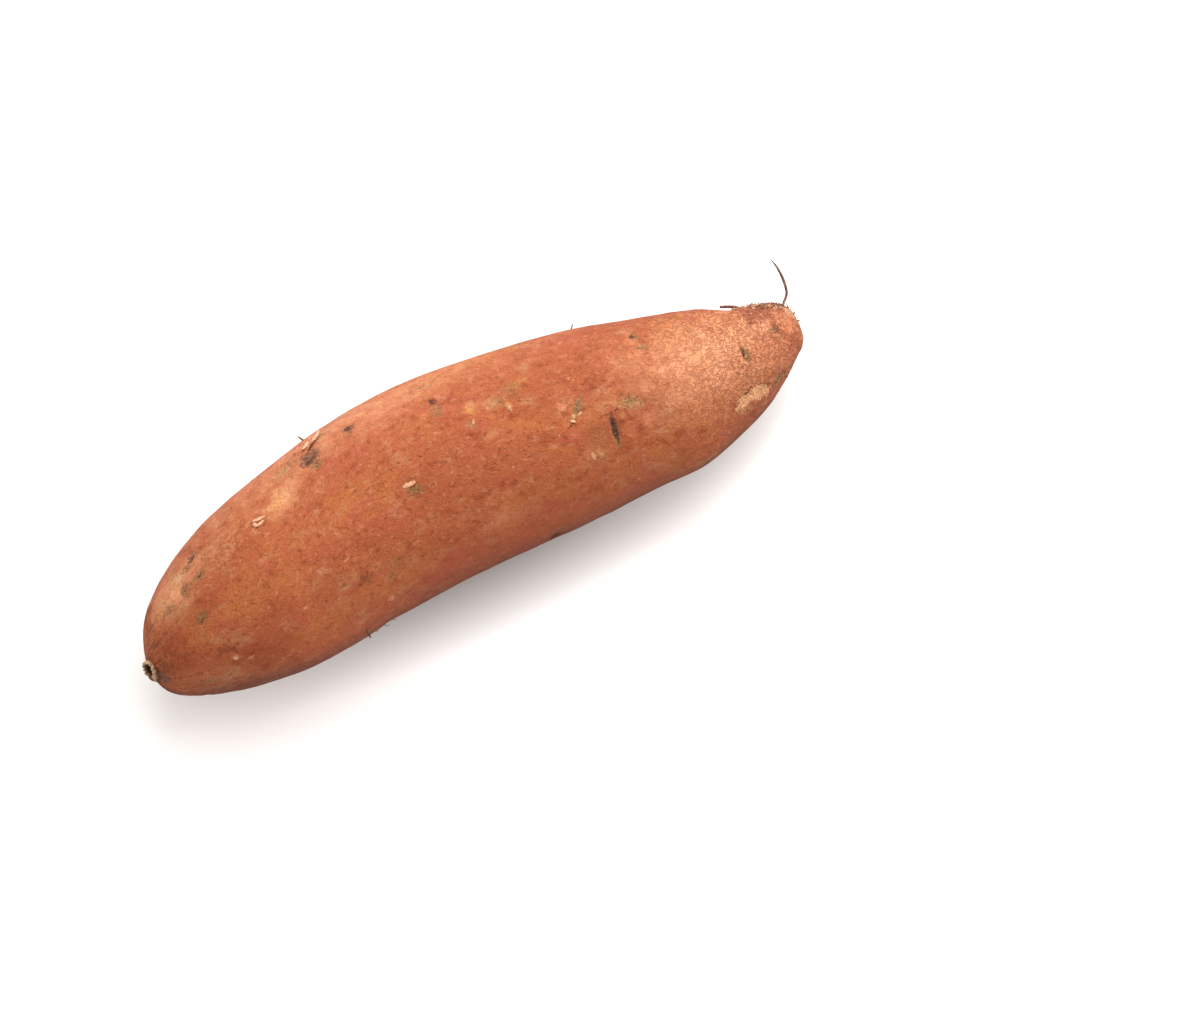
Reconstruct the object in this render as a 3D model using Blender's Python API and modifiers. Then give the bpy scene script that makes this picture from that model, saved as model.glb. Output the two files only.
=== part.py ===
"""A whole sweet potato, lying on its side as it would on a table, in metres with +Z up.

It is one storage root, thick in the belly, tapered to both ends and gently bowed sideways. The
stem end at low X carries a corky scar with a hole in it, and the tail end at high X a wiry rootlet.
Run it with: blender --background --python part.py
"""

import math

import bmesh
import bpy
import numpy as np
from mathutils import Vector

MM = 0.001

# Driving dimensions of the root
LENGTH = 223 * MM  # stem end to tail
HALF_WIDTH = 30.9 * MM  # widest half width, seen from above
BOW = 9.4 * MM  # how far the middle stands sideways of the line between the ends
THICKNESS_SHARE = 0.94  # thickness over width: it grew a little flattened
DROOP_SHARE = 0.25  # how much of its taper shows on top more than below
FLAT_DEPTH = 0.9 * MM  # how deep the patches that it rests on are pressed in

# The root's cross sections: share of the length, share of HALF_WIDTH, share of BOW
SECTIONS = (
    (0.000, 0.000, -0.13),
    (0.014, 0.320, -0.02),
    (0.031, 0.455, 0.08),
    (0.062, 0.600, 0.18),
    (0.125, 0.798, 0.29),
    (0.190, 0.913, 0.40),
    (0.250, 0.955, 0.62),
    (0.340, 0.992, 0.96),
    (0.440, 1.000, 1.00),
    (0.530, 0.983, 0.85),
    (0.625, 0.942, 0.61),
    (0.720, 0.876, 0.35),
    (0.780, 0.823, 0.09),
    (0.840, 0.720, 0.08),
    (0.900, 0.588, 0.10),
    (0.950, 0.411, 0.17),
    (0.978, 0.300, 0.28),
    (0.992, 0.230, 0.31),
    (0.998, 0.145, 0.31),
    (1.000, 0.000, 0.31),
)

# Mesh density of the body
SEGMENTS_AROUND = 60
RINGS_ALONG = 62

# Slow swellings of the surface: height, waves around, waves along, phase
SWELLINGS = (
    (0.42 * MM, 2, 1.3, 0.4),
    (0.34 * MM, 3, 2.1, 2.2),
    (0.24 * MM, 5, 3.4, 4.1),
)
CALM_BELOW = 0.5 * HALF_WIDTH  # towards the ends, below this half width, they fade out

# Dents: share of the length, degrees around from straight up towards +Y, radius, depth
DENTS = (
    (0.308, 35, 6.0 * MM, 0.9 * MM),  # the deepest eye, where side roots broke off
    (0.375, 36, 4.5 * MM, 0.5 * MM),
    (0.486, 24, 5.5 * MM, 0.6 * MM),
    (0.568, 7, 7.0 * MM, 0.3 * MM),
    (0.649, -11, 4.5 * MM, 0.4 * MM),
    (0.685, -30, 6.5 * MM, 0.9 * MM),  # round the healed slit
    (0.770, 20, 5.5 * MM, 0.5 * MM),
    (0.895, -63, 7.0 * MM, 0.4 * MM),
    (0.901, -12, 4.5 * MM, 0.4 * MM),
    (0.918, 72, 6.5 * MM, 1.7 * MM),  # under the side rootlet, before the crusted tail
    (0.085, 24, 6.0 * MM, 0.5 * MM),
    (0.300, -108, 7.0 * MM, 0.7 * MM),
    (0.560, -96, 6.0 * MM, 0.6 * MM),
    (0.740, -118, 6.5 * MM, 0.7 * MM),
    (0.240, 112, 6.0 * MM, 0.6 * MM),
    (0.620, 104, 7.0 * MM, 0.8 * MM),
)

# The stem scar: a turned stub with a hole, its profile as radius and height above its foot
SCAR_PROFILE = (
    (0.9 * MM, -0.6 * MM),
    (1.2 * MM, 2.5 * MM),
    (1.9 * MM, 3.0 * MM),
    (3.1 * MM, 2.8 * MM),
    (3.9 * MM, 1.9 * MM),
    (4.6 * MM, -0.2 * MM),
    (4.8 * MM, -2.6 * MM),
)
SCAR_SIDES = 18
SCAR_UNEVEN = ((0.07, 2, 0.9), (0.05, 5, 2.6))  # share of the radius, waves around, phase
SCAR_FOOT = Vector((2.6, -2.2, -0.6)) * MM
SCAR_FACES = Vector((-0.89, -0.10, 0.44))

# Rootlets: points along the root, across and up from the line between its ends, and radii
ROOTLETS = {
    "tail_rootlet": (
        ((218.0, 4.0, 1.0), (220.6, 7.9, 2.2), (223.1, 9.9, 2.8), (224.5, 12.5, 3.6),
         (225.1, 15.6, 4.4), (224.9, 18.3, 5.3), (224.3, 20.5, 6.2)),
        (0.55, 0.42, 0.48, 0.46, 0.42, 0.34, 0.26),
    ),
    "side_rootlet": (
        ((212.0, 8.0, 0.0), (209.6, 13.2, 0.8), (207.2, 15.3, 1.4), (203.4, 17.0, 2.2)),
        (0.60, 0.52, 0.50, 0.42),
    ),
    "crest_curl": (
        ((160.4, 25.0, 2.3), (160.2, 29.9, 2.7), (159.6, 31.4, 3.1), (160.7, 32.7, 3.5)),
        (0.45, 0.38, 0.32, 0.26),
    ),
    "eye_spur": (
        ((72.4, 29.5, 10.0), (71.4, 34.6, 11.4), (70.1, 37.0, 12.2)),
        (0.60, 0.45, 0.30),
    ),
    "belly_spur": (
        ((60.6, -20.0, 1.6), (61.2, -24.0, 2.0), (61.0, -25.8, 2.2)),
        (0.60, 0.45, 0.35),
    ),
}
ROOTLET_SIDES = 8

MERGE_GAP = 0.02 * MM  # points this close are one


def clear_scene():
    for obj in list(bpy.data.objects):
        bpy.data.objects.remove(obj)


def smooth_curve(xs, ys):
    """A function that passes through the points in a smooth curve."""
    xs, ys = np.array(xs, float), np.array(ys, float)
    slopes = np.gradient(ys, xs)

    def value(x):
        i = int(np.clip(np.searchsorted(xs, x) - 1, 0, len(xs) - 2))
        gap = xs[i + 1] - xs[i]
        t = (x - xs[i]) / gap
        start = (1 + 2 * t) * (1 - t) ** 2 * ys[i] + t * (1 - t) ** 2 * gap * slopes[i]
        end = t * t * (3 - 2 * t) * ys[i + 1] + t * t * (t - 1) * gap * slopes[i + 1]
        return start + end

    return value


SHARES = [section[0] for section in SECTIONS]
# The square of the width is what is smoothed, which rounds the two ends
WIDTH_SQUARED = smooth_curve(SHARES, [section[1] ** 2 for section in SECTIONS])
SIDEWAYS = smooth_curve(SHARES, [section[2] for section in SECTIONS])


def section_at(share):
    """Half width, half thickness, sideways offset and lift of the cross section there."""
    width = HALF_WIDTH * math.sqrt(max(WIDTH_SQUARED(share), 0.0))
    thickness = width * THICKNESS_SHARE
    lift = DROOP_SHARE * (thickness - HALF_WIDTH * THICKNESS_SHARE)
    return width, thickness, BOW * SIDEWAYS(share), lift


def surface_point(share, around):
    """A point of the smooth body. around is in radians from straight up, towards +Y."""
    width, thickness, sideways, lift = section_at(share)
    swelling = sum(
        height * math.sin(waves * around + math.tau * along * share + phase)
        for height, waves, along, phase in SWELLINGS
    )
    grown = swelling * min(1.0, width / CALM_BELOW)
    return Vector((
        LENGTH * share,
        sideways + (width + grown) * math.sin(around),
        lift + (thickness + grown) * math.cos(around),
    ))


DENT_CENTRES = [
    (surface_point(share, math.radians(degrees)), radius, depth)
    for share, degrees, radius, depth in DENTS
]


def dent(point):
    """How deep the dents press the surface in at that point."""
    depth = 0.0
    for centre, radius, deepest in DENT_CENTRES:
        apart = (point - centre).length / radius
        if apart < 1.0:
            depth += deepest * (1 - apart * apart) ** 2
    return depth


def make_body():
    """The root itself: a sphere whose rings are set to the cross sections, then dented."""
    bpy.ops.mesh.primitive_uv_sphere_add(
        segments=SEGMENTS_AROUND, ring_count=RINGS_ALONG, radius=1
    )
    body = bpy.context.object
    body.name = "sweet_potato"
    for vertex in body.data.vertices:
        ball = vertex.co.copy()
        share = (1 - ball.z) / 2
        around = math.atan2(ball.y, ball.x)
        point = surface_point(share, around)
        sideways, lift = section_at(share)[2:]
        inward = (Vector((point.x, sideways, lift)) - point).normalized()
        vertex.co = point + inward * dent(point)
    press_flat(body)
    return body


def press_flat(body):
    """Cuts the underside level where it rests, and closes each patch with a flat face."""
    lowest = min(vertex.co.z for vertex in body.data.vertices)
    mesh = bmesh.new()
    mesh.from_mesh(body.data)
    cut = bmesh.ops.bisect_plane(
        mesh,
        geom=mesh.verts[:] + mesh.edges[:] + mesh.faces[:],
        plane_co=(0, 0, lowest + FLAT_DEPTH),
        plane_no=(0, 0, -1),
        clear_outer=True,
    )
    rim = [part for part in cut["geom_cut"] if isinstance(part, bmesh.types.BMEdge)]
    bmesh.ops.contextual_create(mesh, geom=rim)
    bmesh.ops.recalc_face_normals(mesh, faces=mesh.faces)
    mesh.to_mesh(body.data)
    mesh.free()


def make_scar():
    """The stem scar, turned about its own axis and set into the stem end."""
    mesh = bpy.data.meshes.new("stem_scar")
    points = [(radius, 0, height) for radius, height in SCAR_PROFILE]
    points = [(0, 0, points[0][2])] + points + [(0, 0, points[-1][2])]
    mesh.from_pydata(points[::-1], [(i, i + 1) for i in range(len(points) - 1)], [])
    scar = bpy.data.objects.new("stem_scar", mesh)
    bpy.context.collection.objects.link(scar)
    turn = scar.modifiers.new("turn", "SCREW")
    turn.steps = turn.render_steps = SCAR_SIDES
    turn.use_merge_vertices = True
    turn.merge_threshold = MERGE_GAP
    turn.use_normal_calculate = True
    scar.location = SCAR_FOOT
    scar.rotation_mode = "QUATERNION"
    scar.rotation_quaternion = SCAR_FACES.to_track_quat("Z", "Y")
    stub = solid_copy(scar)
    for vertex in stub.data.vertices:
        around = math.atan2(vertex.co.y, vertex.co.x)
        uneven = sum(share * math.sin(waves * around + phase) for share, waves, phase in SCAR_UNEVEN)
        vertex.co.x *= 1 + uneven
        vertex.co.y *= 1 + uneven
    return stub


def make_rootlet(name, points, radii):
    """A thin tapering root along its points, as a curve with a round bevel."""
    data = bpy.data.curves.new(name, "CURVE")
    data.dimensions = "3D"
    data.bevel_depth = MM
    data.bevel_resolution = (ROOTLET_SIDES - 4) // 2
    data.use_fill_caps = True
    data.resolution_u = 2
    spline = data.splines.new("BEZIER")
    spline.bezier_points.add(len(points) - 1)
    for knot, point, radius in zip(spline.bezier_points, points, radii):
        knot.co = Vector(point) * MM
        knot.radius = radius
        knot.handle_left_type = knot.handle_right_type = "AUTO"
    rootlet = bpy.data.objects.new(name, data)
    bpy.context.collection.objects.link(rootlet)
    return solid_copy(rootlet)


def solid_copy(source):
    """A closed mesh made from a curve or a turned profile, which is then removed."""
    bpy.context.view_layer.update()
    graph = bpy.context.evaluated_depsgraph_get()
    mesh = bpy.data.meshes.new_from_object(source.evaluated_get(graph))
    solid = bpy.data.objects.new(source.name + "_solid", mesh)
    solid.matrix_world = source.matrix_world
    bpy.data.objects.remove(source)
    shape = bmesh.new()
    shape.from_mesh(mesh)
    bmesh.ops.remove_doubles(shape, verts=shape.verts, dist=MERGE_GAP)
    bmesh.ops.recalc_face_normals(shape, faces=shape.faces)
    shape.to_mesh(mesh)
    shape.free()
    return solid


def join(body, growths):
    """Fuses the growths to the body by one Boolean union, and removes them."""
    collection = bpy.data.collections.new("growths")
    bpy.context.scene.collection.children.link(collection)
    for growth in growths:
        collection.objects.link(growth)
    union = body.modifiers.new("growths", "BOOLEAN")
    union.operation = "UNION"
    union.operand_type = "COLLECTION"
    union.collection = collection
    bpy.context.view_layer.objects.active = body
    bpy.ops.object.modifier_apply(modifier=union.name)
    for growth in growths:
        bpy.data.objects.remove(growth)
    bpy.data.collections.remove(collection)


def stand_on_origin(body):
    """Moves the mesh so that the middle of its box's underside is the origin."""
    corners = np.array([vertex.co for vertex in body.data.vertices])
    low, high = corners.min(axis=0), corners.max(axis=0)
    for vertex in body.data.vertices:
        vertex.co -= Vector(((low[0] + high[0]) / 2, (low[1] + high[1]) / 2, low[2]))


def skin_material():
    material = bpy.data.materials.new("sweet_potato_skin")
    material.use_nodes = True
    shader = material.node_tree.nodes["Principled BSDF"]
    shader.inputs["Base Color"].default_value = (0.47, 0.15, 0.058, 1)
    shader.inputs["Roughness"].default_value = 0.62
    shader.inputs["Metallic"].default_value = 0.0
    return material


def main():
    clear_scene()
    body = make_body()
    growths = [make_scar()]
    for name, (points, radii) in ROOTLETS.items():
        growths.append(make_rootlet(name, points, radii))
    join(body, growths)
    stand_on_origin(body)
    body.data.materials.clear()
    body.data.materials.append(skin_material())
    body.data.shade_smooth()
    for old in body.users_collection:
        old.objects.unlink(body)
    collection = bpy.data.collections.new("sweet potato")
    bpy.context.scene.collection.children.link(collection)
    collection.objects.link(body)


main()
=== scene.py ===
import math
import random

import bpy
import numpy as np
from mathutils import Matrix, Vector, noise
from mathutils.bvhtree import BVHTree


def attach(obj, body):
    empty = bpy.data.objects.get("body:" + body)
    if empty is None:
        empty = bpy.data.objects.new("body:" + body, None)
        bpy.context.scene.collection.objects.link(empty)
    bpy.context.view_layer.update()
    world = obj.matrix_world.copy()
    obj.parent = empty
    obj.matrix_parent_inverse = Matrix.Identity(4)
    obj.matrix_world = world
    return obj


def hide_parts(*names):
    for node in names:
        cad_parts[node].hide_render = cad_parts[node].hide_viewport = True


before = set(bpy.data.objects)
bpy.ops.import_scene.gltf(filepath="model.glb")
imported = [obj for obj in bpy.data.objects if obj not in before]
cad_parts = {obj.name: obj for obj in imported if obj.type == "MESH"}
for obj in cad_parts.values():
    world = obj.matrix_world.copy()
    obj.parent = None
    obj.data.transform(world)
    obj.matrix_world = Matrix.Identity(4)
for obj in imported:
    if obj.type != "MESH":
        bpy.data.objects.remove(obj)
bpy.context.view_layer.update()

# The skin. A storage root swells as one body under a thin corky skin, the periderm, which dries
# matt and copper brown. It stretches as the root grows, so it is covered in fine short wrinkles,
# and it heals over every eye, crack and rub with scars of other browns.
MM = 0.001
CAGE_SEGMENTS = 78
CAGE_RINGS = 78
STEM_RINGS = 9  # the first rings, too tight to probe, follow the line of the guide rings
GUIDE_RINGS = slice(STEM_RINGS, 16)
TAIL_RINGS = 6  # the last rings stay level with the one before them
CLOSING_ROUNDS = 400  # how often a gap is averaged with the skin round about
INSIDE = (-7.0, 21.0)  # mm, a line across and up that stays inside the root from end to end
STEM_PROBE = -95.0  # mm along, inside the root near its stem end
TAIL_PROBE = 95.0
ODD_STEP = 0.7  # mm, a ray that ends this far off its neighbours has met a rootlet
SCAR_FOOT = Vector((-109.53, -9.71, 27.5))  # mm, the middle of the stem scar's foot
SCAR_FACES = Vector((-0.89, -0.10, 0.44)).normalized()
SCAR_REACH = 6.0  # mm round the scar's axis where the skin runs on under the scar
FINER_LEVELS = 2


def linear(code, alpha=1.0):
    """An sRGB hex colour as linear values."""
    parts = [int(code[i:i + 2], 16) / 255 for i in (1, 3, 5)]
    return tuple(p / 12.92 if p <= 0.04045 else ((p + 0.055) / 1.055) ** 2.4 for p in parts) + (alpha,)


def add(tree, kind, inputs=(), out=None, **settings):
    """Adds a node with its settings, sets or links its inputs, and returns one output."""
    made = tree.nodes.new("ShaderNode" + kind)
    for name, value in settings.items():
        setattr(made, name, value)
    for name, value in dict(inputs).items():
        if isinstance(value, bpy.types.NodeSocket):
            tree.links.new(value, made.inputs[name])
        else:
            made.inputs[name].default_value = value
    return made.outputs[out] if out else next(o for o in made.outputs if o.enabled)


def new_material(name):
    """A material with its node tree and its shader."""
    material = bpy.data.materials.new(name)
    material.use_nodes = True
    return material, material.node_tree, material.node_tree.nodes["Principled BSDF"]


def finish_piece(piece, name, material):
    """Names the piece, gives it its material and fixes it to the root."""
    piece.name = name
    piece.data.materials.clear()
    piece.data.materials.append(material)
    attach(piece, "root")


def faces_of(piece):
    """The piece's faces as a search tree, for rays."""
    points = [v.co.copy() for v in piece.data.vertices]
    return BVHTree.FromPolygons(points, [tuple(p.vertices) for p in piece.data.polygons])


def distance_out(tree, start, direction):
    """Distance in mm from a point in mm to the surface in that direction."""
    hit = tree.ray_cast(Vector(start) * MM, Vector(direction))
    return hit[3] / MM if hit[0] is not None else 0.0


solid_tree = faces_of(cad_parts["sweet_potato"])
stem_x = STEM_PROBE - distance_out(solid_tree, (STEM_PROBE, *INSIDE), (-1, 0, 0))
tail_x = TAIL_PROBE + distance_out(solid_tree, (TAIL_PROBE, *INSIDE), (1, 0, 0))

# The root's middle line: at each ring, halfway between the skin on both sides, above and below
ring_x = stem_x + (tail_x - stem_x) * (1 - np.cos(np.pi * np.arange(CAGE_RINGS + 1) / CAGE_RINGS)) / 2
ring_y = np.full(CAGE_RINGS + 1, INSIDE[0])
ring_z = np.full(CAGE_RINGS + 1, INSIDE[1])
for i in range(2, CAGE_RINGS - 1):
    reach = [distance_out(solid_tree, (ring_x[i], *INSIDE), (0, side, 0)) for side in (1, -1)]
    ring_y[i] += (reach[0] - reach[1]) / 2
    start = (ring_x[i], ring_y[i], INSIDE[1])
    reach = [distance_out(solid_tree, start, (0, 0, side)) for side in (1, -1)]
    ring_z[i] += (reach[0] - reach[1]) / 2
for line in (ring_y, ring_z):
    line[2:-2] = [np.median(line[max(2, i - 3):i + 4]) for i in range(2, CAGE_RINGS - 1)]
    guide = np.polyfit(ring_x[GUIDE_RINGS], line[GUIDE_RINGS], 1)
    line[:STEM_RINGS] = np.polyval(guide, ring_x[:STEM_RINGS])
    line[-TAIL_RINGS:] = line[-TAIL_RINGS - 1]


def centre(x):
    """The root's middle line at x, as two coordinates in mm."""
    return np.interp(x, ring_x, ring_y), np.interp(x, ring_x, ring_z)


def out_from(around):
    """The direction out from the middle line, turned from straight up towards +Y."""
    return Vector((0, math.sin(around), math.cos(around)))


# How far the solid's surface is from the middle line. What isn't the root's own skin, a rootlet
# or the stem scar, is taken out and closed over from round about
turns = 2 * np.pi * np.arange(CAGE_SEGMENTS) / CAGE_SEGMENTS
reach = np.zeros((CAGE_RINGS + 1, CAGE_SEGMENTS))
keep = np.ones_like(reach, bool)
for i in range(1, CAGE_RINGS):
    middle = Vector((ring_x[i], ring_y[i], ring_z[i]))
    for j, turn in enumerate(turns):
        reach[i, j] = distance_out(solid_tree, middle, out_from(turn))
        off_foot = middle + out_from(turn) * reach[i, j] - SCAR_FOOT
        beside = (off_foot - SCAR_FACES * off_foot.dot(SCAR_FACES)).length
        keep[i, j] = beside > SCAR_REACH or off_foot.length > 2 * SCAR_REACH
    spread = np.median([np.roll(reach[i], k) for k in range(-5, 6)], axis=0)
    keep[i] &= np.abs(reach[i] - spread) < ODD_STEP
for i in range(1, CAGE_RINGS):
    if keep[i].any():
        reach[i, ~keep[i]] = reach[i, keep[i]].mean()
for _ in range(CLOSING_ROUNDS):
    near = (np.roll(reach, 1, 1) + np.roll(reach, -1, 1))[1:-1] + reach[:-2] + reach[2:]
    reach[1:-1] = np.where(keep[1:-1], reach[1:-1], near / 4)


def select_nothing():
    """So that the next operator acts on the new piece alone."""
    bpy.ops.object.select_all(action="DESELECT")


def face_outwards():
    """Turns all faces of the piece in hand outwards, and leaves edit mode."""
    bpy.ops.object.mode_set(mode="EDIT")
    bpy.ops.mesh.select_all(action="SELECT")
    bpy.ops.mesh.normals_make_consistent(inside=False)
    bpy.ops.object.mode_set(mode="OBJECT")


def make_finer(piece):
    """Rounds the piece in hand by dividing its faces."""
    finer = piece.modifiers.new("finer", "SUBSURF")
    finer.levels = finer.render_levels = FINER_LEVELS
    bpy.ops.object.modifier_apply(modifier=finer.name)


def note(piece, name, values):
    """Notes a value, or three, for each point of the piece, for its material to read."""
    values = np.ravel(values)
    alone = len(values) == len(piece.data.vertices)
    noted = piece.data.attributes.new(name, "FLOAT" if alone else "FLOAT_VECTOR", "POINT")
    noted.data.foreach_set("value" if alone else "vector", values)


select_nothing()
bpy.ops.mesh.primitive_uv_sphere_add(
    segments=CAGE_SEGMENTS, ring_count=CAGE_RINGS, radius=1, rotation=(0, math.pi / 2, 0)
)
skin = bpy.context.object
bpy.ops.object.transform_apply(location=True, rotation=True, scale=True)
for vertex in skin.data.vertices:
    ball = vertex.co
    ring = round(math.acos(max(-1.0, min(1.0, -ball.x))) * CAGE_RINGS / math.pi)
    segment = round(math.atan2(ball.y, ball.z) * CAGE_SEGMENTS / math.tau) % CAGE_SEGMENTS
    middle = Vector((ring_x[ring], ring_y[ring], ring_z[ring]))
    vertex.co = (middle + out_from(turns[segment]) * reach[ring, segment]) * MM
face_outwards()
make_finer(skin)

# Every fine point as it stood on a root with a straight middle line: along, across and up, in mm
count = len(skin.data.vertices)
place = np.empty(count * 3)
skin.data.vertices.foreach_get("co", place)
place = place.reshape(-1, 3) / MM
facing = np.empty(count * 3, np.float32)
skin.data.vertex_normals.foreach_get("vector", facing)
facing = facing.reshape(-1, 3)
middle_y, middle_z = centre(place[:, 0])
grown = np.stack([place[:, 0], place[:, 1] - middle_y, place[:, 2] - middle_z], axis=1)
around = np.arctan2(grown[:, 1], grown[:, 2])
radius = np.hypot(grown[:, 1], grown[:, 2])

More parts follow.
